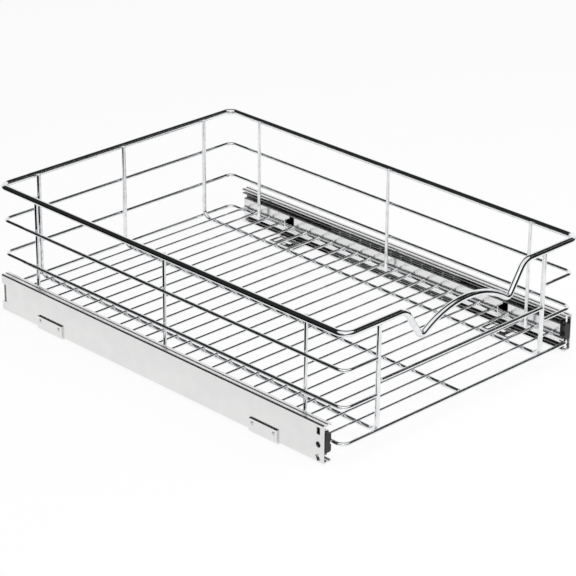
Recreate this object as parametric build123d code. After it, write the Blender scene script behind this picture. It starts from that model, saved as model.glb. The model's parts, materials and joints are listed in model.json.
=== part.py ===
from build123d import *

import math
import os

# Pull-out cabinet organizer: a chrome wire basket on two full-extension ball slides with screw-down feet.
# +X is to the right of the person who pulls it, -Y is the front, +Z is up, all sizes are in millimetres.
# The origin is on the cabinet floor, under the middle of the basket. The basket is drawn closed.

os.makedirs("parts", exist_ok=True)

# Basket
rail_width = 346.0  # top rail, side to side on its centreline
rail_depth = 526.0  # top rail, front to back on its centreline
rail_diameter = 7.0
rail_corner = 11.0  # bend radius of the rail at the four corners
tier_spacing = 40.0  # from the base frame to each loop and on to the rail
side_wire_diameter = 4.0  # base frame and the two loops
side_wire_corner = 9.0
front_bar_diameter = 4.0
front_bar_height = 55.5  # above the base frame
runner_diameter = 5.0
runner_spacing = 123.8  # from the centre runner to the outer ones
runner_bend = 11.0
post_diameter = 4.0
post_gaps = 10  # floor gaps between the middle side post and the next one
post_shift = 2.0  # side posts stand this far behind the middle of their gap
post_tip = 1.6  # how far the side and back uprights stand above the rail's centreline
floor_wire_diameter = 2.8
floor_pitch = 20.66
floor_end_gap = 22.0  # least distance from the last floor wire to the base frame
floor_wire_inset = 1.0  # floor wires end this far short of the outside of the base frame

# Handle, bent into the front of the top rail
shoulder_half = 89.0  # where the rail turns down, from the middle
leg_angle = 57.0  # of the leg below the horizontal, in degrees
arch_drop = 13.2  # top of the grip below the rail
arch_radius = 107.0
shoulder_bend = 16.0
low_bend = 6.0

# Ball slides
slide_length = 498.0
slide_height = 42.5
slide_thickness = 12.7
slide_gap = 2.0  # between the base frame and the slide beside it
slide_lift = 2.85  # middle of the slide above the middle of the base frame's wire
slide_forward = 1.6  # middle of the slide in front of the middle of the basket
outer_sheet = 1.5
inner_sheet = 1.2  # middle and inner members
flange_width = 11.2
lip_sheet = 1.2
middle_width = 8.2
ball_diameter = 3.97
race_depth = 0.3  # how deep each ball track is pressed into its flange
race_clearance = 0.12
running_gap = 0.35  # between nested members and the cages between them
cage_sheet = 0.6
cage_length = 200.0
cage_strip = 0.8
cage_edge = 0.9  # strip left outside the ball holes
ball_pitch = 16.0
ball_hole_clearance = 0.2
end_gap = 0.4  # between the middle member and the end cap that closes on it
inner_rear_gap = 5.0  # the inner member stops this far short of the rear
channel_bend = 1.8
bead_depth = 0.45  # bead pressed along the outer flanges
bead_radius = 0.9
bead_inset = 5.4
edge_round = 0.9  # rounding of bent sheet edges, as a share of the sheet

# Openings in the slide members
notch_height = 20.5
notch_depth = 7.0
screw_inset = 7.0  # front screw openings behind the front edge
slot_width = 4.7
slot_height = 7.8
slot_drop = 8.0  # middle of the upper slot below the top edge
screw_hole = 6.6
screw_hole_drop = 23.0
slant_drop = 38.0
slant_angle = 27.0
slant_width = 4.5

# Hooks of the inner members over the base frame
hook_gap = 8  # floor gaps from the middle to each hook
hook_shift = 0.4  # hooks stand this far behind the middle of their gap
hook_window = 7.5  # length of the window that each hook is lanced from
hook_reach = 7.5  # how far the hook stands out of the web
hook_height = 13.0
hook_window_height = 10.0
hook_drop = 3.0  # lower end of the hook below the middle of the wire
hook_clearance = 0.08  # on either side of the wire

# End caps of the inner members
cap_length = 5.0
cap_height = 20.8
cap_width = 8.2
cap_waist = 3.0
cap_edge = 2.0
plug_length = 14.0
plug_clearance = 0.15

# Feet
foot_sheet = 2.0
foot_width = 40.5
foot_spacing = 332.0
foot_reach = 27.5  # from the outside of the slide inwards
foot_tab = 16.0
foot_bend_clearance = 0.6  # the foot's inside bend is this much tighter than the slide's
foot_slot = 4.5
foot_slot_length = 14.0
foot_slot_spacing = 28.5
foot_hole_inset = 4.8  # round hole, from the inner edge
foot_cross_slot = 12.5  # slot along the slide
foot_cross_inset = 10.6
foot_slot_inset = 2.4
rivet_diameter = 3.0
rivet_clearance = 0.05
rivet_head = 4.6
rivet_dome = 0.5
rivet_inset = 5.0

# Cutting shapes run this far past what they cut through
over = 1.0

# Places worked out from the sizes
side_wire_radius = side_wire_diameter / 2
half_x = rail_width / 2 - rail_diameter / 2 + side_wire_radius
half_y = rail_depth / 2 - rail_diameter / 2 + side_wire_radius
inside_x = half_x - side_wire_radius
inside_y = half_y - side_wire_radius
slide_inner_x = half_x + side_wire_radius + slide_gap
slide_outer_x = slide_inner_x + slide_thickness
slide_middle_z = foot_sheet + slide_height / 2
base_z = slide_middle_z - slide_lift
rail_z = base_z + 3 * tier_spacing
runner_z = base_z + side_wire_radius - runner_diameter / 2
runner_y = inside_y - runner_diameter / 2
post_x = inside_x - post_diameter / 2
floor_z = base_z + side_wire_radius + floor_wire_diameter / 2
floor_half_count = int((half_y - floor_end_gap) / floor_pitch + 0.5)
ball_radius = ball_diameter / 2
race_radius = ball_radius + race_clearance
outer_face = slide_height / 2 - outer_sheet
outer_ball_row = outer_face + race_depth - race_radius
middle_half = outer_ball_row - race_radius + race_depth
middle_face = middle_half - inner_sheet
inner_ball_row = middle_face + race_depth - race_radius
inner_half = inner_ball_row - race_radius + race_depth
lip_end = outer_ball_row + cage_strip / 2 + running_gap
outer_cage_web = outer_sheet + running_gap
middle_web = outer_cage_web + cage_sheet + running_gap
inner_cage_web = middle_web + inner_sheet + running_gap
inner_open = inner_cage_web + cage_sheet + running_gap
ball_row_depth = (inner_open + middle_web + middle_width) / 2
cap_end = middle_web + cap_width
foot_bend = channel_bend - foot_bend_clearance


def bent_edges(points, radii):
    """Straight runs through the points, with a round bend of the given radius at each inner point."""
    edges = []
    start = Vector(points[0])
    for before, corner, after, radius in zip(points, points[1:], points[2:], radii):
        corner = Vector(corner)
        come = (Vector(before) - corner).normalized()
        go = (Vector(after) - corner).normalized()
        half_angle = come.get_angle(go) / 2
        reach = radius / math.tan(math.radians(half_angle))
        inward = (come + go).normalized()
        middle = corner + inward * (radius / math.sin(math.radians(half_angle)) - radius)
        edges.append(Line(start, corner + come * reach))
        edges.append(ThreePointArc(corner + come * reach, middle, corner + go * reach))
        start = corner + go * reach
    edges.append(Line(start, Vector(points[-1])))
    return edges


def round_wire(edges, diameter):
    """A round wire whose centreline runs along the edges."""
    path = Wire(edges)
    section = Plane(origin=path @ 0, z_dir=path % 0) * Circle(diameter / 2)
    return sweep(section, path=path)


def straight_wire(start, end, diameter):
    return round_wire([Line(start, end)], diameter)


def block(x_range, y_range, z_range):
    """A box between two values on each axis."""
    low = [min(r) for r in (x_range, y_range, z_range)]
    high = [max(r) for r in (x_range, y_range, z_range)]
    place = Pos(*[(a + b) / 2 for a, b in zip(low, high)])
    return place * Box(*[b - a for a, b in zip(low, high)])


def save(name, shape):
    shape.label = name
    export_step(shape, f"parts/{name}.step")


# Top rail with the handle: leg and grip are joined by a tight bend that touches both
def handle_edges():
    front = -rail_depth / 2
    angle = math.radians(leg_angle)
    along = (-math.cos(angle), -math.sin(angle))
    across = (-math.sin(angle), math.cos(angle))
    centre = -arch_drop - arch_radius
    offset = (shoulder_half + low_bend * across[0], low_bend * across[1] - centre)
    middle_term = offset[0] * along[0] + offset[1] * along[1]
    rest = offset[0] ** 2 + offset[1] ** 2 - (arch_radius + low_bend) ** 2
    run = -middle_term - math.sqrt(middle_term ** 2 - rest)
    leg_end = (shoulder_half + run * along[0], run * along[1])
    bend = (leg_end[0] + low_bend * across[0], leg_end[1] + low_bend * across[1])
    share = arch_radius / (arch_radius + low_bend)
    grip_end = (bend[0] * share, centre + (bend[1] - centre) * share)
    chord = ((leg_end[0] + grip_end[0]) / 2 - bend[0], (leg_end[1] + grip_end[1]) / 2 - bend[1])
    length = math.hypot(*chord)
    low = (bend[0] + chord[0] / length * low_bend, bend[1] + chord[1] / length * low_bend)

    def at(side, point):
        return (side * point[0], front, rail_z + point[1])

    left = [at(-1, p) for p in (leg_end, low, grip_end)]
    right = [at(1, p) for p in (grip_end, low, leg_end)]
    grip = ThreePointArc(left[2], (0, front, rail_z - arch_drop), right[0])
    return left[0], right[2], [ThreePointArc(*left), grip, ThreePointArc(*right)]


x = rail_width / 2
y = rail_depth / 2
left_leg_end, right_leg_end, handle = handle_edges()
left_run = [(0, y), (-x, y), (-x, -y), (-shoulder_half, -y)]
right_run = [(shoulder_half, -y), (x, -y), (x, y), (0, y)]
rail_bends = [rail_corner, rail_corner, shoulder_bend]
rail_path = bent_edges([(px, py, rail_z) for px, py in left_run] + [left_leg_end], rail_bends)
rail_path += handle
rail_path += bent_edges([right_leg_end] + [(px, py, rail_z) for px, py in right_run], rail_bends[::-1])
save("top_rail", round_wire(rail_path, rail_diameter))

# Two loops round the back and sides, ending on the front posts, and the closed base frame
loop_end = runner_spacing + runner_diameter / 2
for name, tier in (("lower_side_wire", 1), ("upper_side_wire", 2)):
    z = base_z + tier * tier_spacing
    corners = [(-half_x, -half_y, z), (-half_x, half_y, z), (half_x, half_y, z), (half_x, -half_y, z)]
    ends = [(-loop_end, -half_y, z), (loop_end, -half_y, z)]
    loop = bent_edges([ends[0]] + corners + [ends[1]], [side_wire_corner] * 4)
    save(name, round_wire(loop, side_wire_diameter))
middle_back = (0, half_y, base_z)
frame_corners = [(-half_x, half_y), (-half_x, -half_y), (half_x, -half_y), (half_x, half_y)]
frame_points = [middle_back] + [(px, py, base_z) for px, py in frame_corners] + [middle_back]
save("base_frame", round_wire(bent_edges(frame_points, [side_wire_corner] * 4), side_wire_diameter))

# Front bar, welded between the front posts under the rail
bar_y = -rail_depth / 2
bar_z = base_z + front_bar_height
bar_end = runner_spacing - runner_diameter / 2
bar = straight_wire((-bar_end, bar_y, bar_z), (bar_end, bar_y, bar_z), front_bar_diameter)
save("front_bar", bar)

# Runners under the floor, turned up into front and back posts; the centre one ends at the base frame
# The front posts end under the rail, and the base frame touches the bends they rise from
post_top = rail_z + post_tip
front_top = rail_z - rail_diameter / 2
bend_rise = runner_z + runner_bend - base_z
bend_touch = runner_bend + runner_diameter / 2 + side_wire_radius
front_y = -half_y + math.sqrt(bend_touch ** 2 - bend_rise ** 2) - runner_bend
for name, px in (("left", -runner_spacing), ("right", runner_spacing)):
    ends = [(front_y, front_top), (front_y, runner_z), (runner_y, runner_z), (runner_y, post_top)]
    points = [(px, py, pz) for py, pz in ends]
    save(f"{name}_runner_wire", round_wire(bent_edges(points, [runner_bend] * 2), runner_diameter))
points = [(0, -inside_y, runner_z), (0, runner_y, runner_z), (0, runner_y, post_top)]
save("centre_runner_wire", round_wire(bent_edges(points, [runner_bend]), runner_diameter))

# Side posts, welded inside the loops and the rail
for side, sign in (("left", -1), ("right", 1)):
    for place, gap in (("front", -post_gaps), ("middle", 0), ("rear", post_gaps)):
        post_y = gap * floor_pitch + post_shift
        foot = (sign * post_x, post_y, base_z - side_wire_radius)
        top = (sign * post_x, post_y, post_top)
        save(f"{side}_{place}_post", straight_wire(foot, top, post_diameter))

# Floor wires across the runners and the base frame
floor_half_x = half_x + side_wire_radius - floor_wire_inset
for number in range(2 * floor_half_count):
    wire_y = (number + 0.5 - floor_half_count) * floor_pitch
    left_end = (-floor_half_x, wire_y, floor_z)
    right_end = (floor_half_x, wire_y, floor_z)
    save(f"floor_wire_{number + 1:02d}", straight_wire(left_end, right_end, floor_wire_diameter))

# The slides are drawn from their outside face inwards: depth is counted from there, height from their middle
slide_front = -slide_length / 2 - slide_forward
slide_rear = slide_front + slide_length
past_ends = (slide_front - over, slide_rear + over)
member_front = slide_front + cap_length


def slide_block(side, depths, y_range, heights):
    x_range = [side * (slide_outer_x - depth) for depth in depths]
    return block(x_range, y_range, [slide_middle_z + height for height in heights])


def along_slide(side, depth, height, radius):
    """A round bar along the slide and past its ends, for grooves."""
    place = Pos(side * (slide_outer_x - depth), -slide_forward, slide_middle_z + height)
    return place * Rot(X=90) * Cylinder(radius, slide_length + 2 * over)


def through_web(side, y_place, height, radius, reach):
    """A round bar through the outside web, as long as reach on either side of its outer face."""
    place = Pos(side * slide_outer_x, y_place, slide_middle_z + height)
    return place * Rot(Y=90) * Cylinder(radius, 2 * reach)


def long_edges(shape, depth, side):
    """Edges that run the length of a slide member at one depth."""
    place = side * (slide_outer_x - depth)
    return shape.edges().filter_by(Axis.Y).filter_by(lambda edge: abs(edge.center().X - place) < 0.01)


def ball_tracks(side, row):
    low, high = [along_slide(side, ball_row_depth, up * row, race_radius) for up in (-1, 1)]
    return low + high


def foot_places():
    return [("front", -foot_spacing / 2 - slide_forward), ("rear", foot_spacing / 2 - slide_forward)]


def rivet_places():
    """Rivet positions on one slide: two at the top corners of each foot's tab."""
    height = foot_tab - foot_sheet - slide_height / 2 - rivet_inset
    reach = foot_width / 2 - rivet_inset
    return [(place + shift, height) for _, place in foot_places() for shift in (-reach, reach)]


# Outer member: channel with lips, notched at the rear, with three screw openings at the front
def outer_member(side):
    top = slide_height / 2
    body = slide_block(side, (0, flange_width), (slide_front, slide_rear), (-top, top))
    body = fillet(long_edges(body, 0, side), channel_bend)
    body = fillet(long_edges(body, flange_width, side), edge_round * lip_sheet)
    body -= slide_block(side, (outer_sheet, flange_width - lip_sheet), past_ends, (-outer_face, outer_face))
    body -= slide_block(side, (outer_sheet, flange_width + over), past_ends, (-lip_end, lip_end))
    body -= ball_tracks(side, outer_ball_row)
    for up in (-1, 1):
        body -= along_slide(side, bead_inset, up * (top + bead_radius - bead_depth), bead_radius)
    web = (-over, outer_sheet)
    notch = (slide_rear - notch_depth, slide_rear + over)
    body -= slide_block(side, web, notch, (-notch_height / 2, notch_height / 2))
    screw_y = slide_front + screw_inset
    slot_y = (screw_y - slot_width / 2, screw_y + slot_width / 2)
    upper = top - slot_drop
    body -= slide_block(side, web, slot_y, (upper - slot_height / 2, upper + slot_height / 2))
    body -= through_web(side, screw_y, top - screw_hole_drop, screw_hole / 2, outer_sheet)
    slant = Pos(side * slide_outer_x, screw_y, slide_middle_z + top - slant_drop) * Rot(X=-slant_angle)
    body -= slant * Box(2 * outer_sheet, slant_width, slot_height)
    for place, height in rivet_places():
        body -= through_web(side, place, height, rivet_diameter / 2 + rivet_clearance, outer_sheet)
    return body


# Middle member: a plain channel between the two ball rows
def middle_member(side):
    y_range = (member_front + end_gap, slide_rear)
    body = slide_block(side, (middle_web, middle_web + middle_width), y_range, (-middle_half, middle_half))
    body = fillet(long_edges(body, middle_web, side), channel_bend)
    hollow = (middle_web + inner_sheet, middle_web + middle_width + over)
    body -= slide_block(side, hollow, past_ends, (-middle_face, middle_face))
    return body - ball_tracks(side, outer_ball_row) - ball_tracks(side, inner_ball_row)


# Inner member: a channel with its web beside the basket, and two hooks lanced out over the base frame
def inner_member(side):
    y_range = (member_front, slide_rear - inner_rear_gap)
    body = slide_block(side, (inner_open, slide_thickness), y_range, (-inner_half, inner_half))
    body = fillet(long_edges(body, slide_thickness, side), edge_round * inner_sheet)
    inside = inner_half - inner_sheet
    hollow = (inner_open - over, slide_thickness - inner_sheet)
    body -= slide_block(side, hollow, past_ends, (-inside, inside))
    body -= ball_tracks(side, inner_ball_row)
    web = (slide_thickness - inner_sheet, slide_thickness + over)
    low = -hook_drop - slide_lift
    wire = Pos(side * half_x, 0, base_z) * Rot(X=90) * Cylinder(side_wire_radius, slide_length)
    wire_depth = slide_thickness + slide_gap
    wire_width = (wire_depth - hook_clearance, wire_depth + side_wire_diameter + hook_clearance)
    for place in (hook_shift - hook_gap * floor_pitch, hook_shift + hook_gap * floor_pitch):
        window = (place - hook_window, place)
        body -= slide_block(side, web, window, (inside - hook_window_height, inside))
        thick = (place, place + inner_sheet)
        reach = (slide_thickness, slide_thickness + hook_reach)
        hook = slide_block(side, reach, thick, (low, low + hook_height))
        past = (thick[0] - over, thick[1] + over)
        hook -= wire + slide_block(side, wire_width, past, (low - over, -slide_lift))
        body += hook
    return body


# Ball cages: strips with a hole per ball above and below, joined by a thin web
def ball_places():
    count = int((cage_length - ball_pitch) / ball_pitch) + 1
    return [(number - (count - 1) / 2) * ball_pitch - slide_forward for number in range(count)]


def ball_cage(side, web, row):
    y_range = [shift - slide_forward for shift in (-cage_length / 2, cage_length / 2)]
    strip = (row - cage_strip / 2, row + cage_strip / 2)
    cage = slide_block(side, (web, web + cage_sheet), y_range, (-strip[1], strip[1]))
    for up in (-1, 1):
        depths = (web, ball_row_depth + ball_radius + cage_edge)
        cage += slide_block(side, depths, y_range, (up * strip[0], up * strip[1]))
    for place in ball_places():
        hole = Cylinder(ball_radius + ball_hole_clearance, slide_height)
        cage -= Pos(side * (slide_outer_x - ball_row_depth), place, slide_middle_z) * hole
    return cage


def balls(side, row):
    x_place = side * (slide_outer_x - ball_row_depth)
    places = [(x_place, place, slide_middle_z + up * row) for up in (-1, 1) for place in ball_places()]
    return Compound([solid for place in places for solid in (Pos(*place) * Sphere(ball_radius)).solids()])


# End cap: a waisted block that closes the front of the slide, with a plug in the inner member
def end_cap(side):
    front = (slide_front, member_front)
    cap = slide_block(side, (middle_web, cap_end), front, (-cap_height / 2, cap_height / 2))
    cap = fillet(cap.edges().filter_by(Axis.Y), cap_edge)
    cap -= along_slide(side, cap_end + cap_waist / 2, 0, cap_waist)
    inside = inner_half - inner_sheet - plug_clearance
    depths = (inner_open + plug_clearance, slide_thickness - inner_sheet - plug_clearance)
    plug = (member_front - over, member_front + plug_length)
    return cap + slide_block(side, depths, plug, (-inside, inside))


# Foot: a bent bracket with a tab riveted to the slide and a slotted plate under it
def foot(side, place):
    y_range = (place - foot_width / 2, place + foot_width / 2)
    inner_x = slide_outer_x - foot_reach
    outer_x = slide_outer_x + foot_sheet
    body = block((side * inner_x, side * outer_x), y_range, (0, foot_tab))
    corner = body.edges().filter_by(Axis.Y).filter_by(lambda edge: abs(edge.center().X) > slide_outer_x)
    body = fillet(corner.sort_by(Axis.Z)[0], foot_bend + foot_sheet)
    past = (y_range[0] - over, y_range[1] + over)
    hollow = block((side * (inner_x - over), side * slide_outer_x), past, (foot_sheet, foot_tab + over))
    corner = hollow.edges().filter_by(Axis.Y).filter_by(lambda edge: abs(edge.center().X) > slide_inner_x)
    body -= fillet(corner.sort_by(Axis.Z)[0], foot_bend)
    tall = 4 * foot_sheet
    slot_x = inner_x + foot_slot_inset + foot_slot_length / 2
    for shift in (-foot_slot_spacing / 2, foot_slot_spacing / 2):
        slot = extrude(SlotOverall(foot_slot_length, foot_slot), tall, both=True)
        body -= Pos(side * slot_x, place + shift, 0) * slot
    body -= Pos(side * (inner_x + foot_hole_inset), place, 0) * Cylinder(foot_slot / 2, tall)
    cross = extrude(SlotOverall(foot_cross_slot, foot_slot, rotation=90), tall, both=True)
    body -= Pos(side * (inner_x + foot_cross_inset), place, 0) * cross
    for rivet_y, height in rivet_places():
        body -= through_web(side, rivet_y, height, rivet_diameter / 2 + rivet_clearance, 2 * foot_sheet)
    return body


# Rivets: a flush shank through the tab and the web, with a low dome outside
def rivets(side):
    dome_radius = (rivet_head ** 2 / 4 + rivet_dome ** 2) / (2 * rivet_dome)
    head = Pos(0, 0, rivet_dome - dome_radius) * Sphere(dome_radius)
    head &= Pos(0, 0, rivet_dome / 2) * Box(2 * rivet_head, 2 * rivet_head, rivet_dome)
    shank = foot_sheet + outer_sheet
    rivet = head + Pos(0, 0, -shank / 2) * Cylinder(rivet_diameter / 2, shank)
    row = []
    for place, height in rivet_places():
        face = Pos(side * (slide_outer_x + foot_sheet), place, slide_middle_z + height)
        row += (face * Rot(Y=90 * side) * rivet).solids()
    return Compound(row)


for side_name, side in (("left", -1), ("right", 1)):
    save(f"{side_name}_outer_member", outer_member(side))
    save(f"{side_name}_middle_member", middle_member(side))
    save(f"{side_name}_inner_member", inner_member(side))
    save(f"{side_name}_outer_ball_cage", ball_cage(side, outer_cage_web, outer_ball_row))
    save(f"{side_name}_outer_balls", balls(side, outer_ball_row))
    save(f"{side_name}_inner_ball_cage", ball_cage(side, inner_cage_web, inner_ball_row))
    save(f"{side_name}_inner_balls", balls(side, inner_ball_row))
    save(f"{side_name}_end_cap", end_cap(side))
    for foot_name, place in foot_places():
        save(f"{side_name}_{foot_name}_foot", foot(side, place))
    save(f"{side_name}_foot_rivets", rivets(side))
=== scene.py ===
import json
import math

import bmesh
import bpy
from mathutils import Matrix, Vector


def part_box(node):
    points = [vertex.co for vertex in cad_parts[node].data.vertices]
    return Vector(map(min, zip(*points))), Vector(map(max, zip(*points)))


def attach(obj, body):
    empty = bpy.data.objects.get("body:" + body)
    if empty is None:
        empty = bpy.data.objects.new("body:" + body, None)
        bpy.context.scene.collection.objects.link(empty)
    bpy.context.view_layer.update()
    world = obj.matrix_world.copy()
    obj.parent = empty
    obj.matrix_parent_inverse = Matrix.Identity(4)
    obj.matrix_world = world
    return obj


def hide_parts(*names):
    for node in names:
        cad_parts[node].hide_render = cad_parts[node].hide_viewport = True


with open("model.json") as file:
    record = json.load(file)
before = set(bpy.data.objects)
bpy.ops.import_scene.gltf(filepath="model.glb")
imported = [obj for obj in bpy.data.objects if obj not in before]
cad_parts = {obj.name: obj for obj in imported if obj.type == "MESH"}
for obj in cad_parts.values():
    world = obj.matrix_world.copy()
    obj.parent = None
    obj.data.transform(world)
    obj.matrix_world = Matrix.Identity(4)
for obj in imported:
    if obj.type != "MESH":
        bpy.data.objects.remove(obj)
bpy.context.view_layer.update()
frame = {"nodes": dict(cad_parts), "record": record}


# Feet: four brackets folded from zinc-plated steel sheet. The tab stands against the outside of the slide,
# and the plate under the slide lies on the cabinet floor and takes its screws through punched slots.

mm = 0.001


def linear(hex_colour):
    """An sRGB hex colour as linear RGBA."""
    parts = [int(hex_colour[place:place + 2], 16) / 255 for place in (1, 3, 5)]
    return [c / 12.92 if c <= 0.04045 else ((c + 0.055) / 1.055) ** 2.4 for c in parts] + [1.0]


def add_node(material, kind, values=None, links=None, stops=(), **settings):
    """Adds a shader node with its settings, input values and links, and the stops of a colour ramp."""
    tree = material.node_tree
    node = tree.nodes.new("ShaderNode" + kind)
    for name, value in settings.items():
        setattr(node, name, value)
    for socket, value in (values or {}).items():
        node.inputs[socket].default_value = value
    for socket, (source, output) in (links or {}).items():
        tree.links.new(source.outputs[output], node.inputs[socket])
    for number, (position, tone) in enumerate(stops):
        node.color_ramp.elements[number].position = position
        node.color_ramp.elements[number].color = linear(tone)
    return node


def new_material(name):
    """A material with an empty node tree."""
    material = bpy.data.materials.new(name)
    material.use_nodes = True
    material.node_tree.nodes.clear()
    return material


def zinc_plated_sheet():
    """Bright zinc on cold-rolled steel: a satin grey metal with a cloudy sheen and faint rolling lines,
    which are drawn coarser to show."""
    roll_line = 0.9 * mm
    line_length = 70 * mm
    cloud = 16 * mm
    cloud_tones = ((0.35, "#E2E2E2"), (0.7, "#E6E6E5"))
    satin = {"From Min": 0.3, "From Max": 0.7, "To Min": 0.2, "To Max": 0.23}
    material = new_material("zinc_plated_rolled_steel")
    place = add_node(material, "TexCoord")
    on_piece = {"Vector": (place, "Object")}
    along = (1 / roll_line, 1 / line_length, 1 / roll_line)
    rolled = add_node(material, "Mapping", {"Scale": along}, on_piece)
    lines = add_node(material, "TexNoise", {"Scale": 1.0, "Detail": 3.0}, {"Vector": (rolled, "Vector")})
    clouds = add_node(material, "TexNoise", {"Scale": 1 / cloud, "Detail": 2.0}, on_piece)
    tones = add_node(material, "ValToRGB", links={"Fac": (clouds, 0)}, stops=cloud_tones)
    gloss = add_node(material, "MapRange", satin, {"Value": (lines, 0)})
    bump = add_node(material, "Bump", {"Strength": 0.05, "Distance": 0.01 * mm}, {"Height": (lines, 0)})
    shader = add_node(material, "BsdfPrincipled", {"Metallic": 1.0}, {
        "Base Color": (tones, "Color"), "Roughness": (gloss, "Result"), "Normal": (bump, "Normal")})
    add_node(material, "OutputMaterial", links={"Surface": (shader, "BSDF")})
    return material


def select_where(piece, kind, test):
    """In edit mode, selects the vertices, edges or faces whose middle passes the test, and nothing else."""
    bpy.ops.mesh.select_mode(type=kind)
    bpy.ops.mesh.select_all(action="DESELECT")
    mesh = bmesh.from_edit_mesh(piece.data)
    for part in {"VERT": mesh.verts, "EDGE": mesh.edges, "FACE": mesh.faces}[kind]:
        points = [part] if kind == "VERT" else part.verts
        middle = sum((vertex.co for vertex in points), Vector()) / len(points)
        part.select_set(test(middle))
    mesh.select_flush_mode()
    bmesh.update_edit_mesh(piece.data)


def apply_modifier(piece, kind, **settings):
    """Adds a modifier with its settings and applies it."""
    bpy.context.view_layer.objects.active = piece
    modifier = piece.modifiers.new(kind.title(), kind)
    for name, value in settings.items():
        setattr(modifier, name, value)
    bpy.ops.object.modifier_apply(modifier=modifier.name)


def folded_sheet(name, profile, bends, y_range, sheet):
    """Sheet metal folded along Y: a flat first leg, the next legs extruded from its edge, bends rounded,
    then thickened to the left of the profile's direction. The profile's points are (x, z), and each inner
    one has a bend radius."""
    bpy.ops.object.select_all(action="DESELECT")
    bpy.ops.mesh.primitive_plane_add(size=1)
    piece = bpy.context.object
    piece.name = name
    (x0, z0), (x1, z1) = profile[:2]
    length = y_range[1] - y_range[0]
    leg = math.hypot(x1 - x0, z1 - z0)
    tilt = math.atan2(z1 - z0, x1 - x0)
    piece.scale = (leg, length, 1)
    piece.rotation_euler = (0, -tilt, 0)
    piece.location = ((x0 + x1) / 2, sum(y_range) / 2, (z0 + z1) / 2)
    bpy.ops.object.transform_apply()
    bpy.ops.object.mode_set(mode="EDIT")
    near = 0.01 * mm
    bend_steps = 6

    def fold_at(point):
        return lambda middle: math.hypot(middle.x - point[0], middle.z - point[1]) < near

    for before, after in zip(profile[1:], profile[2:]):
        select_where(piece, "EDGE", fold_at(before))
        step = (after[0] - before[0], 0, after[1] - before[1])
        bpy.ops.mesh.extrude_region_move(TRANSFORM_OT_translate={"value": step})
    bpy.ops.mesh.select_all(action="SELECT")
    bpy.ops.mesh.normals_make_consistent(inside=False)
    for point, radius in zip(profile[1:-1], bends):
        select_where(piece, "EDGE", fold_at(point))
        bpy.ops.mesh.bevel(offset=radius, offset_type="OFFSET", segments=bend_steps, profile=0.5)
    bpy.ops.object.mode_set(mode="OBJECT")
    leg_normal = Vector((-(z1 - z0), 0, x1 - x0)).normalized()
    leg_middle = Vector(((x0 + x1) / 2, sum(y_range) / 2, (z0 + z1) / 2))
    first_leg = min(piece.data.polygons, key=lambda face: (face.center - leg_middle).length)
    facing = 1 if first_leg.normal.dot(leg_normal) > 0 else -1
    apply_modifier(piece, "SOLIDIFY", thickness=sheet, offset=facing, use_even_offset=True)
    return piece


def punch(piece, cutter):
    """Cuts the cutter's shape out of the piece."""
    apply_modifier(piece, "BOOLEAN", operation="DIFFERENCE", object=cutter, solver="EXACT")
    bpy.data.objects.remove(cutter)


def round_punch(middle, radius, direction, stretch=0.0, turn=0.0, depth=12 * mm):
    """A round punch along a direction, stretched into a slot by pulling its two halves apart."""
    round_steps = 32
    bpy.ops.object.select_all(action="DESELECT")
    bpy.ops.mesh.primitive_cylinder_add(vertices=round_steps, radius=radius, depth=depth)
    cutter = bpy.context.object
    bpy.ops.object.mode_set(mode="EDIT")
    middle_line = 0.01 * radius
    for side in (-1, 1):
        select_where(cutter, "VERT", lambda point: side * point.x > middle_line)
        bpy.ops.transform.translate(value=(side * stretch / 2, 0, 0))
    bpy.ops.object.mode_set(mode="OBJECT")
    facing = direction.to_track_quat("Z", "Y").to_matrix().to_4x4()
    cutter.matrix_world = Matrix.Translation(middle) @ facing @ Matrix.Rotation(turn, 4, "Z")
    bpy.ops.object.transform_apply()
    return cutter


def block_punch(low, high, tilt=0.0):
    """A rectangular punch between two corners, tilted about X."""
    bpy.ops.object.select_all(action="DESELECT")
    bpy.ops.mesh.primitive_cube_add(size=1)
    cutter = bpy.context.object
    cutter.scale = high - low
    cutter.rotation_euler = (tilt, 0, 0)
    cutter.location = (low + high) / 2
    bpy.ops.object.transform_apply()
    return cutter


def break_edges(piece, width):
    """Takes the sharpness off the edges and shades the rest smooth, with flat faces kept flat."""
    sharp = math.radians(40)
    smooth = math.radians(35)
    apply_modifier(piece, "BEVEL", width=width, segments=2, limit_method="ANGLE", angle_limit=sharp)
    bpy.ops.object.select_all(action="DESELECT")
    piece.select_set(True)
    bpy.context.view_layer.objects.active = piece
    bpy.ops.object.shade_smooth_by_angle(angle=smooth)
    apply_modifier(piece, "WEIGHTED_NORMAL", keep_sharp=True)


def copy_of(piece, name, shift=(0, 0, 0), mirror=False):
    """A copy with its own mesh, moved, or mirrored from left to right."""
    bpy.ops.object.select_all(action="DESELECT")
    piece.select_set(True)
    bpy.context.view_layer.objects.active = piece
    bpy.ops.object.duplicate()
    twin = bpy.context.object
    twin.name = name
    bpy.ops.object.mode_set(mode="EDIT")
    bpy.ops.mesh.select_all(action="SELECT")
    if mirror:
        bpy.ops.transform.resize(value=(-1, 1, 1), center_override=(0, 0, 0))
        bpy.ops.mesh.flip_normals()
    bpy.ops.transform.translate(value=shift)
    bpy.ops.object.mode_set(mode="OBJECT")
    if mirror and twin.data.has_custom_normals:
        bpy.ops.mesh.customdata_custom_splitnormals_clear()
        apply_modifier(twin, "WEIGHTED_NORMAL", keep_sharp=True)
    return twin


def place_piece(piece, material, body, slot, *nodes):
    """Gives a finished piece its material, its body and the solids that it stands for."""
    piece.data.materials.clear()
    piece.data.materials.append(material)
    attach(piece, body)
    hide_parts(*nodes)


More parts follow.
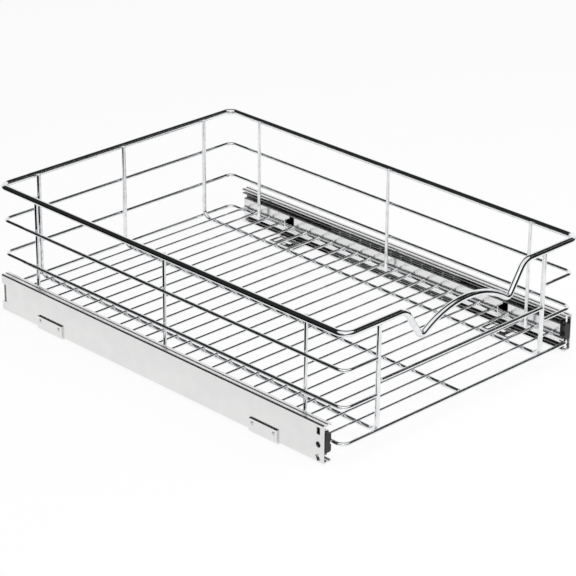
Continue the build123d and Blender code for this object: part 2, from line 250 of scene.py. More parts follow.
mounts = {mount["name"]: mount for mount in frame["record"]["mounts"]}
foot_sheet = 2.0 * mm
foot_bend = 3.2 * mm
foot_edge = 0.25 * mm
zinc = zinc_plated_sheet()
low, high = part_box("left_front_foot")
foot_profile = [(high.x, low.z), (low.x, low.z), (low.x, high.z)]
foot = folded_sheet("folded_foot_left_front", foot_profile[::-1], [foot_bend], (low.y, high.y), foot_sheet)
up = Vector((0, 0, 1))
middle_y = (low.y + high.y) / 2
for name in ("end_foot_slots", "middle_foot_slots"):
    mount = mounts[name]
    dims = mount["dims"]
    width = 2 * dims["hole_r_mm"] * mm
    slot_place = (-dims["spacing_x_mm"] / 2 * mm, mount["pos_m"][1] - dims["spacing_y_mm"] / 2 * mm, 0)
    punch(foot, round_punch(Vector(slot_place), width / 2, up, dims["slot_length_mm"] * mm - width))
dims = mounts["left_lengthwise_slots"]["dims"]
width = 2 * dims["hole_r_mm"] * mm
slot_place = Vector((mounts["left_lengthwise_slots"]["pos_m"][0], middle_y, 0))
punch(foot, round_punch(slot_place, width / 2, up, dims["slot_length_mm"] * mm - width, math.pi / 2))
dims = mounts["foot_screw_holes"]["dims"]
hole_place = Vector((-dims["spacing_x_mm"] / 2 * mm, middle_y, 0))
punch(foot, round_punch(hole_place, dims["hole_r_mm"] * mm, up))
break_edges(foot, foot_edge)
foot_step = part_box("left_rear_foot")[0] - low
feet = {"left_front": foot,
        "left_rear": copy_of(foot, "folded_foot_left_rear", foot_step),
        "right_front": copy_of(foot, "folded_foot_right_front", mirror=True),
        "right_rear": copy_of(foot, "folded_foot_right_rear", foot_step, mirror=True)}
for name, piece in feet.items():
    place_piece(piece, zinc, "slide_base", "zinc_steel", f"{name}_foot")


# Outer slide members: cold-rolled channels of zinc-plated steel, with turned lips and a bead along each
# flange. They are notched at the rear and punched at the front for screws, and they stay in the cabinet
# with the feet riveted to them.

member_sheet = 1.5 * mm
member_bend = 1.6 * mm
lip_bend = 1.7 * mm
lip_height = 2.55 * mm
bead_depth = 0.7 * mm
bead_half = 1.2 * mm
bead_inset = 5.4 * mm
bead_bend = 0.4 * mm
member_edge = 0.18 * mm
screw_inset = 7.0 * mm
slot_size = (4.7 * mm, 7.8 * mm)
slot_drop = 8.0 * mm
screw_hole = 6.6 * mm
screw_hole_drop = 23.0 * mm
slant_size = (4.5 * mm, 7.8 * mm)
slant_drop = 38.0 * mm
slant_tilt = math.radians(-27)
notch = (7.0 * mm, 20.5 * mm)
low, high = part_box("left_outer_member")


def flange(z, inward):
    """Points of a flange from its lip to the web, with the bead pressed in."""
    return [(high.x, z + inward * lip_height), (high.x, z),
            (low.x + bead_inset + bead_half, z), (low.x + bead_inset, z + inward * bead_depth),
            (low.x + bead_inset - bead_half, z), (low.x, z)]


outer_profile = flange(high.z, -1) + flange(low.z, 1)[::-1]
flange_bends = [lip_bend, bead_bend, bead_bend, bead_bend, member_bend]
outer_bends = flange_bends + flange_bends[::-1]
outer = folded_sheet("channel_left_outer", outer_profile, outer_bends, (low.y, high.y), member_sheet)
punch_depth = 3 * member_sheet
web_x = low.x
screw_y = low.y + screw_inset


def web_punch(y, z, size, tilt=0.0):
    """A rectangular punch through the web, with its size along Y and Z."""
    half = Vector((punch_depth, *size)) / 2
    middle = Vector((web_x, y, z))
    return block_punch(middle - half, middle + half, tilt)


punch(outer, web_punch(screw_y, high.z - slot_drop, slot_size))
punch(outer, web_punch(screw_y, high.z - slant_drop, slant_size, slant_tilt))
punch(outer, web_punch(high.y, (low.z + high.z) / 2, (2 * notch[0], notch[1])))
hole = Vector((web_x, screw_y, high.z - screw_hole_drop))
punch(outer, round_punch(hole, screw_hole / 2, Vector((1, 0, 0)), depth=punch_depth))
break_edges(outer, member_edge)
place_piece(outer, zinc, "slide_base", "zinc_steel", "left_outer_member")
twin = copy_of(outer, "channel_right_outer", mirror=True)
place_piece(twin, zinc, "slide_base", "zinc_steel", "right_outer_member")


# Foot rivets: soft steel rivets through the web and the tab, two at the top corners of each foot. The head
# is pressed to a low dome on the outside, and the shank ends flush inside.

def riveted_head_steel():
    """Zinc-plated rivet steel: duller than the sheet, with small dents from the rivet tool."""
    dent = 0.8 * mm
    dent_tones = ((0.3, "#C2C4C6"), (0.7, "#D8DADB"))
    material = new_material("zinc_plated_rivet_steel")
    place = add_node(material, "TexCoord")
    on_piece = {"Vector": (place, "Object")}
    dents = add_node(material, "TexNoise", {"Scale": 1 / dent, "Detail": 1.0}, on_piece)
    tones = add_node(material, "ValToRGB", links={"Fac": (dents, 0)}, stops=dent_tones)
    bump = add_node(material, "Bump", {"Strength": 0.25, "Distance": 0.05 * mm}, {"Height": (dents, 0)})
    shader = add_node(material, "BsdfPrincipled", {"Metallic": 1.0, "Roughness": 0.3}, {
        "Base Color": (tones, "Color"), "Normal": (bump, "Normal")})
    add_node(material, "OutputMaterial", links={"Surface": (shader, "BSDF")})
    return material


def joined(pieces, name):
    """Several meshes as one piece."""
    bpy.ops.object.select_all(action="DESELECT")
    for piece in pieces:
        piece.select_set(True)
    bpy.context.view_layer.objects.active = pieces[0]
    bpy.ops.object.join()
    pieces[0].name = name
    return pieces[0]


rivet_head = 4.6 * mm
rivet_dome = 0.5 * mm
rivet_shank = 3.0 * mm
rivet_inset = 5.0 * mm
smooth = math.radians(35)
base_band = 0.01 * rivet_dome
cut_limit = 0.001 * mm
dome_radius = (rivet_head ** 2 / 4 + rivet_dome ** 2) / (2 * rivet_dome)
low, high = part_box("left_front_foot")
head_face = low.x
shank_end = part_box("left_foot_rivets")[1].x
bpy.ops.object.select_all(action="DESELECT")
bpy.ops.mesh.primitive_uv_sphere_add(segments=24, ring_count=96, radius=dome_radius)
rivet = bpy.context.object
bpy.ops.object.mode_set(mode="EDIT")
bpy.ops.mesh.select_all(action="SELECT")
cut_z = dome_radius - rivet_dome
bpy.ops.mesh.bisect(plane_co=(0, 0, cut_z), plane_no=(0, 0, 1), use_fill=True, clear_inner=True,
                    threshold=cut_limit)
select_where(rivet, "FACE", lambda middle: middle.z < cut_z + base_band)
bpy.ops.mesh.inset(thickness=(rivet_head - rivet_shank) / 2)
bpy.ops.mesh.extrude_region_move(TRANSFORM_OT_translate={"value": (0, 0, head_face - shank_end)})
bpy.ops.mesh.select_all(action="SELECT")
bpy.ops.mesh.normals_make_consistent(inside=False)
bpy.ops.transform.translate(value=(0, 0, -cut_z))
bpy.ops.object.mode_set(mode="OBJECT")
first_place = Vector((head_face, low.y + rivet_inset, high.z - rivet_inset))
rivet.matrix_world = Matrix.Translation(first_place) @ Matrix.Rotation(-math.pi / 2, 4, "Y")
bpy.ops.object.transform_apply()
bpy.ops.object.shade_smooth_by_angle(angle=smooth)
pair_step = Vector((0, high.y - low.y - 2 * rivet_inset, 0))
row = [rivet]
for step in (pair_step, foot_step, foot_step + pair_step):
    row.append(copy_of(rivet, "rivet", step))
rivets = joined(row, "rivet_row_left")
rivet_steel = riveted_head_steel()
place_piece(rivets, rivet_steel, "slide_base", "zinc_steel", "left_foot_rivets")
twin = copy_of(rivets, "rivet_row_right", mirror=True)
place_piece(twin, rivet_steel, "slide_base", "zinc_steel", "right_foot_rivets")


# Ball cages: thin pressed strips with a hole for each ball, one outside and one inside the middle member.
# They are steel with a film of grease, and they keep the balls a pitch apart as the slide runs.

def greased_cage_steel():
    """Cold-rolled strip under grease: dark grey, with wet and dry patches."""
    smear = 5 * mm
    smear_tones = ((0.35, "#6E6F6E"), (0.65, "#9B9D9E"))
    wet_to_dry = {"From Min": 0.35, "From Max": 0.65, "To Min": 0.25, "To Max": 0.45}
    material = new_material("greased_cold_rolled_strip")
    place = add_node(material, "TexCoord")
    on_piece = {"Vector": (place, "Object")}
    smears = add_node(material, "TexNoise", {"Scale": 1 / smear, "Detail": 3.0}, on_piece)
    tones = add_node(material, "ValToRGB", links={"Fac": (smears, 0)}, stops=smear_tones)
    gloss = add_node(material, "MapRange", wet_to_dry, {"Value": (smears, 0)})
    shader = add_node(material, "BsdfPrincipled", {"Metallic": 1.0}, {
        "Base Color": (tones, "Color"), "Roughness": (gloss, "Result")})
    add_node(material, "OutputMaterial", links={"Surface": (shader, "BSDF")})
    return material


cage_steel = greased_cage_steel()
for name, node in frame["nodes"].items():
    if name.endswith("ball_cage"):
        node.data.materials.clear()
        node.data.materials.append(cage_steel)


# Balls: hardened chrome-steel bearing balls, ground and polished. Two rows of twelve run in each cage,
# one above and one below, and roll between the tracks of two slide members.

def polished_bearing_steel():
    """Polished through-hardened steel: a near mirror with a little grease and a few fine wear marks, which
    are drawn coarser to show."""
    mark = 1.2 * mm
    mark_tones = ((0.4, "#E4E5E6"), (0.7, "#C9CBCC"))
    polish = {"From Min": 0.4, "From Max": 0.7, "To Min": 0.05, "To Max": 0.16}
    material = new_material("polished_bearing_steel")
    place = add_node(material, "TexCoord")
    on_piece = {"Vector": (place, "Object")}
    marks = add_node(material, "TexNoise", {"Scale": 1 / mark, "Detail": 4.0}, on_piece)
    tones = add_node(material, "ValToRGB", links={"Fac": (marks, 0)}, stops=mark_tones)
    gloss = add_node(material, "MapRange", polish, {"Value": (marks, 0)})
    shader = add_node(material, "BsdfPrincipled", {"Metallic": 1.0}, {
        "Base Color": (tones, "Color"), "Roughness": (gloss, "Result")})
    add_node(material, "OutputMaterial", links={"Surface": (shader, "BSDF")})
    return material


ball_radius = 1.985 * mm
balls_in_row = 12
bearing_steel = polished_bearing_steel()
for cage in ("outer", "inner"):
    low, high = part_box(f"left_{cage}_balls")
    bpy.ops.object.select_all(action="DESELECT")
    bpy.ops.mesh.primitive_ico_sphere_add(subdivisions=3, radius=ball_radius)
    ball = bpy.context.object
    ball.location = low + Vector((high.x - low.x, 2 * ball_radius, 2 * ball_radius)) / 2
    bpy.ops.object.transform_apply()
    bpy.ops.object.shade_smooth()
    pitch = (high.y - low.y - 2 * ball_radius) / (balls_in_row - 1)
    row = [ball]
    for number in range(1, balls_in_row):
        row.append(copy_of(ball, "ball", (0, number * pitch, 0)))
    lower_row = joined(row, "ball_row")
    upper_row = copy_of(lower_row, "ball_row_above", (0, 0, high.z - low.z - 2 * ball_radius))
    balls = joined([lower_row, upper_row], f"polished_balls_left_{cage}")
    place_piece(balls, bearing_steel, f"left_{cage}_cage", "ball_steel", f"left_{cage}_balls")
    twin = copy_of(balls, f"polished_balls_right_{cage}", mirror=True)
    place_piece(twin, bearing_steel, f"right_{cage}_cage", "ball_steel", f"right_{cage}_balls")


# Middle slide members: plain rolled channels between the two ball rows, with a track for the balls outside
# and inside each flange. Each follows the basket at half its travel.

def greased_shaded_zinc_sheet():
    """Zinc-plated channel under slide grease, wiped along the slide: a dull dark grey that is partly the
    grease film and partly painted shade for the gap between the slide members.
    """
    wipe = 3 * mm
    wipe_length = 40 * mm
    # The dark grey of these tones is partly the grease film and partly painted shade for the gap between the
    # slide members.
    wipe_and_shade_tones = ((0.35, "#6A6B6A"), (0.65, "#8E8F8E"))
    film = {"From Min": 0.35, "From Max": 0.65, "To Min": 0.3, "To Max": 0.42}
    material = new_material("greased_zinc_steel_with_painted_shade")
    place = add_node(material, "TexCoord")
    on_piece = {"Vector": (place, "Object")}
    along = (1 / wipe, 1 / wipe_length, 1 / wipe)
    wiped = add_node(material, "Mapping", {"Scale": along}, on_piece)
    wipes = add_node(material, "TexNoise", {"Scale": 1.0, "Detail": 3.0}, {"Vector": (wiped, "Vector")})
    tones = add_node(material, "ValToRGB", links={"Fac": (wipes, 0)}, stops=wipe_and_shade_tones)
    gloss = add_node(material, "MapRange", film, {"Value": (wipes, 0)})
    shader = add_node(material, "BsdfPrincipled", {"Metallic": 1.0}, {
        "Base Color": (tones, "Color"), "Roughness": (gloss, "Result")})
    add_node(material, "OutputMaterial", links={"Surface": (shader, "BSDF")})
    return material


inner_sheet = 1.2 * mm
track_radius = 2.105 * mm
past_ends = 2 * mm


def track_punch(x, z, y_range):
    """A round bar along the slide, which leaves the balls' track where it runs into a flange."""
    middle = Vector((x, sum(y_range) / 2, z))
    bar_length = y_range[1] - y_range[0] + 2 * past_ends
    return round_punch(middle, track_radius, Vector((0, 1, 0)), depth=bar_length)


low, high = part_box("left_middle_member")
middle_profile = [(high.x, high.z), (low.x, high.z), (low.x, low.z), (high.x, low.z)]
y_range = (low.y, high.y)
middle = folded_sheet("channel_left_middle", middle_profile, [member_bend] * 2, y_range, inner_sheet)
for cage in ("outer", "inner"):
    balls_low, balls_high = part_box(f"left_{cage}_balls")
    track_x = (balls_low.x + balls_high.x) / 2
    for z in (balls_low.z + ball_radius, balls_high.z - ball_radius):
        punch(middle, track_punch(track_x, z, y_range))
break_edges(middle, member_edge)
# The middle members get a dark grey that is partly grease and partly painted shade for the gap they run in.
greased_shaded_zinc = greased_shaded_zinc_sheet()
place_piece(middle, greased_shaded_zinc, "left_middle_slide", "zinc_steel", "left_middle_member")
twin = copy_of(middle, "channel_right_middle", mirror=True)
place_piece(twin, greased_shaded_zinc, "right_middle_slide", "zinc_steel", "right_middle_member")


# Inner slide members: channels with their web beside the basket, on the inner balls. Two tabs are lanced
# out of each web and hook over the base frame's side wire, so that the basket lifts off for cleaning.

inner_width = 7.4 * mm
web_bend = 1.4 * mm
window_length = 7.5 * mm
window_height = 10.0 * mm
hook_height = 13.0 * mm
hook_foot = 5.85 * mm
hook_gap = 0.08 * mm
hook_places = (-164.88 * mm, 165.68 * mm)
low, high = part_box("left_inner_member")
frame_low, frame_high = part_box("base_frame")
wire_half = (frame_high.z - frame_low.z) / 2
wire_x = frame_low.x + wire_half
wire_z = (frame_low.z + frame_high.z) / 2
web_x = low.x + inner_width
slide_z = (low.z + high.z) / 2
inner_profile = [(low.x, low.z), (web_x, low.z), (web_x, high.z), (low.x, high.z)]
y_range = (low.y, high.y)
inner = folded_sheet("channel_left_inner", inner_profile, [web_bend] * 2, y_range, inner_sheet)
balls_low, balls_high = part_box("left_inner_balls")
track_x = (balls_low.x + balls_high.x) / 2
for z in (balls_low.z + ball_radius, balls_high.z - ball_radius):
    punch(inner, track_punch(track_x, z, y_range))
window_top = high.z - inner_sheet
for hook_y in hook_places:
    window_low = Vector((web_x - 2 * inner_sheet, hook_y - window_length, window_top - window_height))
    punch(inner, block_punch(window_low, Vector((web_x + inner_sheet, hook_y, window_top))))
    hook_low = Vector((web_x - inner_sheet / 2, hook_y, slide_z - hook_foot))
    hook = block_punch(hook_low, Vector((high.x, hook_y + inner_sheet, hook_low.z + hook_height)))
    gap = wire_half + hook_gap
    punch(hook, round_punch(Vector((wire_x, hook_y, wire_z)), gap, Vector((0, 1, 0))))
    slot_low = Vector((wire_x - gap, hook_y - inner_sheet, hook_low.z - inner_sheet))
    punch(hook, block_punch(slot_low, Vector((wire_x + gap, hook_y + 2 * inner_sheet, wire_z))))
    apply_modifier(inner, "BOOLEAN", operation="UNION", object=hook, solver="EXACT")
    bpy.data.objects.remove(hook)
break_edges(inner, member_edge)
place_piece(inner, zinc, "basket", "zinc_steel", "left_inner_member")
twin = copy_of(inner, "channel_right_inner", mirror=True)
place_piece(twin, zinc, "basket", "zinc_steel", "right_inner_member")


# End caps: injection-moulded black plastic blocks that close the front of each slide. A plug behind the cap
# is pushed into the inner member, and the waisted side leaves room for the base frame.

def moulded_black_plastic():
    """Acetal from a spark-eroded mould: black, with a soft gloss and a fine grain that is drawn coarser to
    show, over faint lines of flow."""
    grain = 0.5 * mm
    flow = 6 * mm
    flow_tones = ((0.35, "#1B1B1C"), (0.65, "#262627"))
    soft_gloss = {"From Min": 0.3, "From Max": 0.7, "To Min": 0.34, "To Max": 0.5}
    material = new_material("moulded_black_acetal")
    place = add_node(material, "TexCoord")
    on_piece = {"Vector": (place, "Object")}
    grains = add_node(material, "TexNoise", {"Scale": 1 / grain, "Detail": 2.0}, on_piece)
    flows = add_node(material, "TexNoise", {"Scale": 1 / flow, "Detail": 2.0}, on_piece)
    tones = add_node(material, "ValToRGB", links={"Fac": (flows, 0)}, stops=flow_tones)
    gloss = add_node(material, "MapRange", soft_gloss, {"Value": (flows, 0)})
    bump = add_node(material, "Bump", {"Strength": 0.3, "Distance": 0.03 * mm}, {"Height": (grains, 0)})
    shader = add_node(material, "BsdfPrincipled", {"IOR": 1.48}, {
        "Base Color": (tones, "Color"), "Roughness": (gloss, "Result"), "Normal": (bump, "Normal")})
    add_node(material, "OutputMaterial", links={"Surface": (shader, "BSDF")})
    return material


cap_length = 5.0 * mm
cap_round = 2.0 * mm
cap_waist = 3.0 * mm
cap_moulding = 0.3 * mm
plug_gap = 0.15 * mm
low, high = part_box("left_end_cap")
inner_low, inner_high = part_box("left_inner_member")
face_high = Vector((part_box("left_middle_member")[1].x, low.y + cap_length, high.z))
cap = block_punch(low, face_high)
cap.name = "moulded_cap_left"
bpy.ops.object.mode_set(mode="EDIT")
middle_y = low.y + cap_length / 2
near_middle = 0.1 * mm
select_where(cap, "EDGE", lambda middle: abs(middle.y - middle_y) < near_middle)
bpy.ops.mesh.bevel(offset=cap_round, segments=5, profile=0.5)
bpy.ops.object.mode_set(mode="OBJECT")
waist = Vector((face_high.x + cap_waist / 2, middle_y, slide_z))
punch(cap, round_punch(waist, cap_waist, Vector((0, 1, 0)), depth=2 * cap_length))
plug_edge = inner_sheet + plug_gap
plug_low = Vector((inner_low.x + plug_gap, low.y + cap_length - inner_sheet, inner_low.z + plug_edge))
plug_high = Vector((web_x - plug_edge, high.y, inner_high.z - plug_edge))
plug = block_punch(plug_low, plug_high)
apply_modifier(cap, "BOOLEAN", operation="UNION", object=plug, solver="EXACT")
bpy.data.objects.remove(plug)
break_edges(cap, cap_moulding)
black_plastic = moulded_black_plastic()
place_piece(cap, black_plastic, "basket", "black_plastic", "left_end_cap")
twin = copy_of(cap, "moulded_cap_right", mirror=True)
place_piece(twin, black_plastic, "basket", "black_plastic", "right_end_cap")


# Base frame: a closed rectangle of drawn steel wire with round corners, butt-welded at the middle of the
# back. The whole basket is spot-welded to it and then chrome-plated in one piece.

def bright_chrome():
    """Chrome over nickel on drawn wire: a bright mirror, slightly wavy from the drawing die under it."""
    wave = 5 * mm
    haze = 14 * mm
    haze_tones = ((0.35, "#E2E4E6"), (0.65, "#F1F2F3"))
    mirror = {"From Min": 0.35, "From Max": 0.65, "To Min": 0.03, "To Max": 0.08}
    material = new_material("chrome_plated_drawn_wire")
    place = add_node(material, "TexCoord")
    on_piece = {"Vector": (place, "Object")}
    waves = add_node(material, "TexNoise", {"Scale": 1 / wave, "Detail": 1.0}, on_piece)
    hazes = add_node(material, "TexNoise", {"Scale": 1 / haze, "Detail": 3.0}, on_piece)
    tones = add_node(material, "ValToRGB", links={"Fac": (hazes, 0)}, stops=haze_tones)
    gloss = add_node(material, "MapRange", mirror, {"Value": (hazes, 0)})
    bump = add_node(material, "Bump", {"Strength": 0.2, "Distance": 0.05 * mm}, {"Height": (waves, 0)})
    shader = add_node(material, "BsdfPrincipled", {"Metallic": 1.0}, {
        "Base Color": (tones, "Color"), "Roughness": (gloss, "Result"), "Normal": (bump, "Normal")})
    add_node(material, "OutputMaterial", links={"Surface": (shader, "BSDF")})
    return material


def drawn_wire(name, diameter, corners, bends=(), sides=24, closed=False):
    """A round wire from corner to corner, extruded along each straight run and spun round each bend. An
    open wire gets cropped ends with the edge taken off."""
    near = 0.1 * mm
    shortest_run = 0.01 * mm
    weld = 0.005 * mm
    crop_round = 0.15 * diameter
    bend_step = 5
    fewest_steps = 8
    smooth = math.radians(40)
    corners = [Vector(corner) for corner in corners]
    ends = (corners[0], corners[-1])
    heading = (corners[1] - corners[0]).normalized()
    bpy.ops.object.select_all(action="DESELECT")
    bpy.ops.mesh.primitive_circle_add(vertices=sides, radius=diameter / 2)
    wire = bpy.context.object
    wire.name = name
    facing = heading.to_track_quat("Z", "Y").to_matrix().to_4x4()
    wire.matrix_world = Matrix.Translation(corners[0]) @ facing
    bpy.ops.object.transform_apply()
    bpy.ops.object.mode_set(mode="EDIT")
    bpy.ops.mesh.select_mode(type="EDGE")
    bpy.ops.mesh.select_all(action="SELECT")
    here = corners[0]
    for corner, after, bend in zip(corners[1:], corners[2:], bends):
        come = (corner - here).normalized()
        go = (after - corner).normalized()
        turn = come.angle(go)
        bend_start = corner - come * bend * math.tan(turn / 2)
        if (bend_start - here).length > shortest_run:
            bpy.ops.mesh.extrude_region_move(TRANSFORM_OT_translate={"value": bend_start - here})
        axis = come.cross(go).normalized()
        centre = bend_start + axis.cross(come) * bend
        steps = max(fewest_steps, math.ceil(math.degrees(turn) / bend_step))
        bpy.ops.mesh.spin(steps=steps, angle=-turn, center=centre, axis=axis)
        here = corner + go * bend * math.tan(turn / 2)
    bpy.ops.mesh.extrude_region_move(TRANSFORM_OT_translate={"value": corners[-1] - here})
    bpy.ops.mesh.select_all(action="SELECT")
    bpy.ops.mesh.remove_doubles(threshold=weld)
    if not closed:
        bpy.ops.mesh.fill_holes(sides=0)
        select_where(wire, "FACE", lambda middle: min((middle - end).length for end in ends) < near)
        bpy.ops.mesh.region_to_loop()
        bpy.ops.mesh.bevel(offset=crop_round, segments=3, profile=0.5)
        bpy.ops.mesh.select_all(action="SELECT")
    bpy.ops.mesh.normals_make_consistent(inside=False)
    bpy.ops.object.mode_set(mode="OBJECT")
    bpy.ops.object.shade_smooth_by_angle(angle=smooth)
    apply_modifier(wire, "WEIGHTED_NORMAL", keep_sharp=True)
    return wire


chrome = bright_chrome()
frame_corner = 9.0 * mm
low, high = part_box("base_frame")
diameter = high.z - low.z
z = (low.z + high.z) / 2
x = high.x - diameter / 2
y = high.y - diameter / 2
base_corners = [(0, y, z), (-x, y, z), (-x, -y, z), (x, -y, z), (x, y, z), (0, y, z)]
base = drawn_wire("bent_base_frame", diameter, base_corners, [frame_corner] * 4, closed=True)
place_piece(base, chrome, "basket", "chrome_wire", "base_frame")


# Runner wires: three lengthwise wires under the floor. The outer two turn up into the front and back posts,
# and the middle one into the middle back post; each is one bent wire.

runner_bend = 11.0 * mm
low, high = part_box("left_runner_wire")
diameter = high.x - low.x
x = (low.x + high.x) / 2
front_y = low.y + diameter / 2
back_y = high.y - diameter / 2
under_z = low.z + diameter / 2
rail_wire = 7.0 * mm
front_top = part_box("top_rail")[1].z - rail_wire
side_corners = [(x, front_y, front_top), (x, front_y, under_z), (x, back_y, under_z), (x, back_y, high.z)]
runner = drawn_wire("bent_runner_left", diameter, side_corners, [runner_bend] * 2)
place_piece(runner, chrome, "basket", "chrome_wire", "left_runner_wire")
twin = copy_of(runner, "bent_runner_right", mirror=True)
place_piece(twin, chrome, "basket", "chrome_wire", "right_runner_wire")
low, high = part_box("centre_runner_wire")
centre_corners = [(0, low.y, under_z), (0, back_y, under_z), (0, back_y, high.z)]
runner = drawn_wire("bent_runner_centre", diameter, centre_corners, [runner_bend])
place_piece(runner, chrome, "basket", "chrome_wire", "centre_runner_wire")


# Floor wires: thin straight steel wires, cropped to length and laid across the base frame and the runners.
# They are spot-welded at each crossing and chrome-plated with the basket.

low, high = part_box("floor_wire_01")
diameter = high.z - low.z
y = (low.y + high.y) / 2
z = (low.z + high.z) / 2
floor_wire = drawn_wire("cropped_floor_wire_01", diameter, [(low.x, y, z), (high.x, y, z)], sides=20)
place_piece(floor_wire, chrome, "basket", "chrome_wire", "floor_wire_01")
for node in sorted(name for name in frame["nodes"] if name.startswith("floor_wire_"))[1:]:
    twin = copy_of(floor_wire, f"cropped_{node}", (0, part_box(node)[0].y - low.y, 0))
    place_piece(twin, chrome, "basket", "chrome_wire", node)


# Side posts: short upright steel wires, cropped at both ends, three on each side. They are spot-welded
# inside the base frame, the two side wires and the top rail.

low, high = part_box("left_front_post")
diameter = high.x - low.x
x = (low.x + high.x) / 2
y = (low.y + high.y) / 2
post = drawn_wire("cropped_post_left_front", diameter, [(x, y, low.z), (x, y, high.z)])
place_piece(post, chrome, "basket", "chrome_wire", "left_front_post")
for stand in ("front", "middle", "rear"):
    step = (0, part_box(f"left_{stand}_post")[0].y - low.y, 0)
    if stand != "front":
        twin = copy_of(post, f"cropped_post_left_{stand}", step)
        place_piece(twin, chrome, "basket", "chrome_wire", f"left_{stand}_post")
    twin = copy_of(post, f"cropped_post_right_{stand}", step, mirror=True)
    place_piece(twin, chrome, "basket", "chrome_wire", f"right_{stand}_post")


# Side wires: two equal bent wires round the back and the sides of the basket. Both ends of each turn in at
# the front and are welded to the front posts.

low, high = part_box("lower_side_wire")
diameter = high.z - low.z
x = high.x - diameter / 2
y = high.y - diameter / 2
z = (low.z + high.z) / 2
end_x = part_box("right_runner_wire")[1].x
loop_corners = [(-end_x, -y, z), (-x, -y, z), (-x, y, z), (x, y, z), (x, -y, z), (end_x, -y, z)]
loop = drawn_wire("bent_side_wire_lower", diameter, loop_corners, [frame_corner] * 4)
place_piece(loop, chrome, "basket", "chrome_wire", "lower_side_wire")
twin = copy_of(loop, "bent_side_wire_upper", (0, 0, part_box("upper_side_wire")[0].z - low.z))
place_piece(twin, chrome, "basket", "chrome_wire", "upper_side_wire")


# Front bar: a straight steel wire across the front, cropped to length. It is welded between the two front
# posts and keeps things from sliding out under the handle.

low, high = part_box("front_bar")
diameter = high.z - low.z
y = (low.y + high.y) / 2
z = (low.z + high.z) / 2
bar = drawn_wire("cropped_front_bar", diameter, [(low.x, y, z), (high.x, y, z)])
place_piece(bar, chrome, "basket", "chrome_wire", "front_bar")


# Top rail: one thick wire bent round the whole top, with the handle bent into its front: two slanted legs,
# and between them a grip that arches back up. It is butt-welded at the middle of the back.

rail_corner = 11.0 * mm
shoulder_half = 89.0 * mm
shoulder_bend = 16.0 * mm
leg_angle = math.radians(57)
low_bend = 6.0 * mm
arch_drop = 13.2 * mm
arch_radius = 107.0 * mm
low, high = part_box("top_rail")
x = high.x - rail_wire / 2
y = high.y - rail_wire / 2
z = high.z - rail_wire / 2
shoulder = Vector((shoulder_half, 0))
arch_middle = Vector((0, -arch_drop - arch_radius))
leg = Vector((-math.cos(leg_angle), -math.sin(leg_angle)))
bend_line = shoulder + low_bend * Vector((leg.y, -leg.x)) - arch_middle
nearest = bend_line.dot(leg)
run = -nearest - math.sqrt(nearest ** 2 - bend_line.length_squared + (arch_radius + low_bend) ** 2)
bend_middle = bend_line + leg * run
lean = math.atan2(bend_middle.x, bend_middle.y)
low_corner = shoulder + leg * (run + low_bend * math.tan((leg_angle + lean) / 2))
arch_corner = Vector((0, arch_middle.y + arch_radius / math.cos(lean)))
handle_half = [(shoulder.x, -y, z), (low_corner.x, -y, z + low_corner.y)]
right_half = [(0, -y, z + arch_corner.y)] + handle_half[::-1] + [(x, -y, z), (x, y, z), (0, y, z)]
left_half = [(-px, py, pz) for px, py, pz in right_half[:0:-1]]
half_bends = [low_bend, shoulder_bend, rail_corner, rail_corner]
rail_bends = half_bends[::-1] + [arch_radius] + half_bends
rail = drawn_wire("bent_top_rail", rail_wire, left_half + right_half, rail_bends, sides=32, closed=True)
place_piece(rail, chrome, "basket", "chrome_wire", "top_rail")


# Studio: a white painted board for a floor, and a white backdrop behind it in a dark room, which the chrome
# shows as black lines. The light is soft and from above. The camera stands to the front left and above.

# The camera sees most of the floor as plain white, and the rest as lit paint that keeps the object's shadow.
# The chrome sees it end at these edges: each has a direction across it, and the distances in metres at which
# it is dark and white.
left_edge = (Vector((1, 0, 0)), -0.29, -0.27)
left_front_edge = (Vector((1, -0.24, 0)), -0.275, -0.24)
front_edge = (Vector((-0.45, 1, 0)), -0.70, -0.58)
floor_size = 16
floor_glow = 0.9
floor_paint = "#E8E8E8"
white = "#FFFFFF"
board = new_material("white_painted_board")
floor_place = add_node(board, "TexCoord")
edges = []
for edge_normal, dark, light in (left_edge, left_front_edge, front_edge):
    along = add_node(board, "VectorMath", {1: edge_normal}, {0: (floor_place, "Object")},
                     operation="DOT_PRODUCT")
    fade = {"From Min": dark, "From Max": light}
    edges.append(add_node(board, "MapRange", fade, {"Value": (along, "Value")}))
on_left = add_node(board, "Math", links={0: (edges[0], 0), 1: (edges[1], 0)}, operation="MAXIMUM")
on_board = add_node(board, "Math", links={0: (on_left, 0), 1: (edges[2], 0)}, operation="MULTIPLY")
rays = add_node(board, "LightPath")
glowing = add_node(board, "Math", links={0: (on_board, 0), 1: (rays, "Is Camera Ray")}, operation="MAXIMUM")
seen = add_node(board, "Math", {1: floor_glow}, {0: (rays, "Is Camera Ray")}, operation="MULTIPLY")
lifted = add_node(board, "Math", links={0: (seen, 0), 1: (rays, "Is Glossy Ray")}, operation="MAXIMUM")
paint = add_node(board, "BsdfDiffuse", {"Color": linear(floor_paint)})
glow = add_node(board, "Emission", {"Color": linear(white)}, {"Strength": (glowing, 0)})
mixed = add_node(board, "MixShader", links={0: (lifted, 0), 1: (paint, 0), 2: (glow, 0)})
add_node(board, "OutputMaterial", links={"Surface": (mixed, 0)})
bpy.ops.object.select_all(action="DESELECT")
bpy.ops.mesh.primitive_plane_add(size=floor_size)
ground = bpy.context.object
ground.name = "studio_floor"
ground.data.materials.append(board)

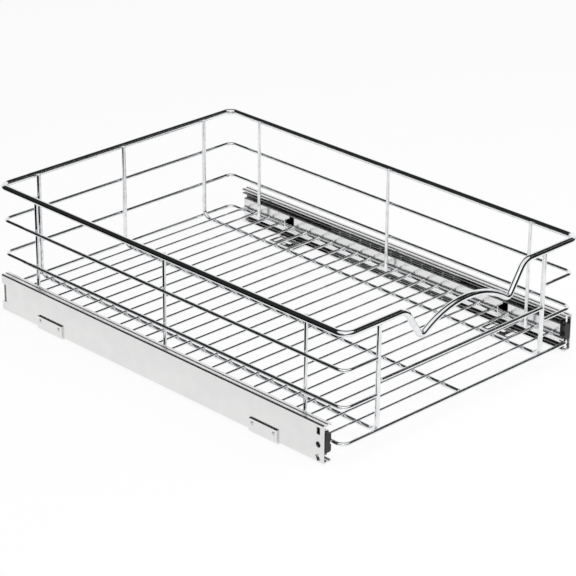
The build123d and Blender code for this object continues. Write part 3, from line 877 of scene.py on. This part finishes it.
# The backdrop and the soft boxes each have a direction, and the angles in degrees from it at which they are
# dark and white. The backdrop also fades out above its top, and only the metal shows the soft boxes.
room_light = 0.025
backdrop = Vector((0.7071, 0.7071, 0))
backdrop_sides = (68, 55)
backdrop_top = (33, 40)
soft_boxes = [(Vector((-0.470, -0.329, 0.819)), 49, 41), (Vector((0, -0.454, 0.891)), 34, 28)]
scene = bpy.context.scene
scene.view_settings.view_transform = "Standard"
world = bpy.data.worlds.new("studio")
scene.world = world
world.use_nodes = True
world.node_tree.nodes.clear()
sky_place = add_node(world, "TexCoord")
rays = add_node(world, "LightPath")
panels = []
for panel, dark, light in [(backdrop, *backdrop_sides)] + soft_boxes:
    towards = add_node(world, "VectorMath", {1: panel}, {0: (sky_place, "Generated")},
                       operation="DOT_PRODUCT")
    fade = {"From Min": math.cos(math.radians(dark)), "From Max": math.cos(math.radians(light))}
    panels.append(add_node(world, "MapRange", fade, {"Value": (towards, "Value")}))
height = add_node(world, "SeparateXYZ", links={"Vector": (sky_place, "Generated")})
fade_start, fade_end = (math.sin(math.radians(angle)) for angle in backdrop_top)
fade = {"From Min": fade_start, "From Max": fade_end, "To Min": 1.0, "To Max": 0.0}
below_top = add_node(world, "MapRange", fade, {"Value": (height, "Z")})
sheet = add_node(world, "Math", links={0: (panels[0], 0), 1: (below_top, 0)}, operation="MULTIPLY")
lit = add_node(world, "Math", {1: room_light}, {0: (sheet, 0)}, operation="MAXIMUM")
for soft_box in panels[1:]:
    in_metal = add_node(world, "Math", links={0: (soft_box, 0), 1: (rays, "Is Glossy Ray")},
                        operation="MULTIPLY")
    lit = add_node(world, "Math", links={0: (lit, 0), 1: (in_metal, 0)}, operation="MAXIMUM")
bright = add_node(world, "Math", links={0: (lit, 0), 1: (rays, "Is Camera Ray")}, operation="MAXIMUM")
sky = add_node(world, "Background", {"Color": linear(white)}, {"Strength": (bright, 0)})
add_node(world, "OutputWorld", links={"Surface": (sky, 0)})

# Lamps: name, place and size in metres, power in watts, and whether the chrome shows them.
lamps = [("overhead_box", (-0.4, -0.6, 2.2), (2.0, 2.0), 60, False),
         ("side_box", (1.6, -1.4, 1.5), (1.2, 1.2), 18, False),
         ("camera_box", (-2.1, -2.1, 1.35), (1.1, 0.8), 2.8, True),
         ("strip_box", (1.9, -1.8, 1.6), (1.8, 0.07), 0.4, True)]
for name, lamp_place, size, power, mirrored in lamps:
    bpy.ops.object.light_add(type="AREA", location=lamp_place)
    lamp = bpy.context.object
    lamp.name = name
    lamp.data.shape = "RECTANGLE"
    lamp.data.size, lamp.data.size_y = size
    lamp.data.energy = power
    lamp.visible_glossy = mirrored
    lamp.rotation_euler = (-Vector(lamp_place)).to_track_quat("-Z", "Y").to_euler()

# Camera: a long lens where the photograph was taken from, aimed at a point a little above the floor. It is
# moved aside and up to frame the object in the same place, without lens shift.
azimuth = math.radians(-44.736)
elevation = math.radians(24.348)
roll = math.radians(0.5155)
distance = 2.6786
aim_height = 40.19 * mm
aside = 7.119 * mm
above = 9.182 * mm
sensor = 36
lens = 154.50
back = Vector((math.sin(azimuth) * math.cos(elevation),
               -math.cos(azimuth) * math.cos(elevation),
               math.sin(elevation)))
level = Vector((math.cos(azimuth), math.sin(azimuth), 0))
across = Matrix.Rotation(roll, 3, back) @ level
upward = back.cross(across)
bpy.ops.object.camera_add()
camera = bpy.context.object
camera.data.sensor_width = sensor
camera.data.lens = lens
turned = Matrix((across, upward, back)).transposed().to_4x4()
eye = Vector((0, 0, aim_height)) + back * distance + across * aside + upward * above
camera.matrix_world = Matrix.Translation(eye) @ turned
scene.camera = camera
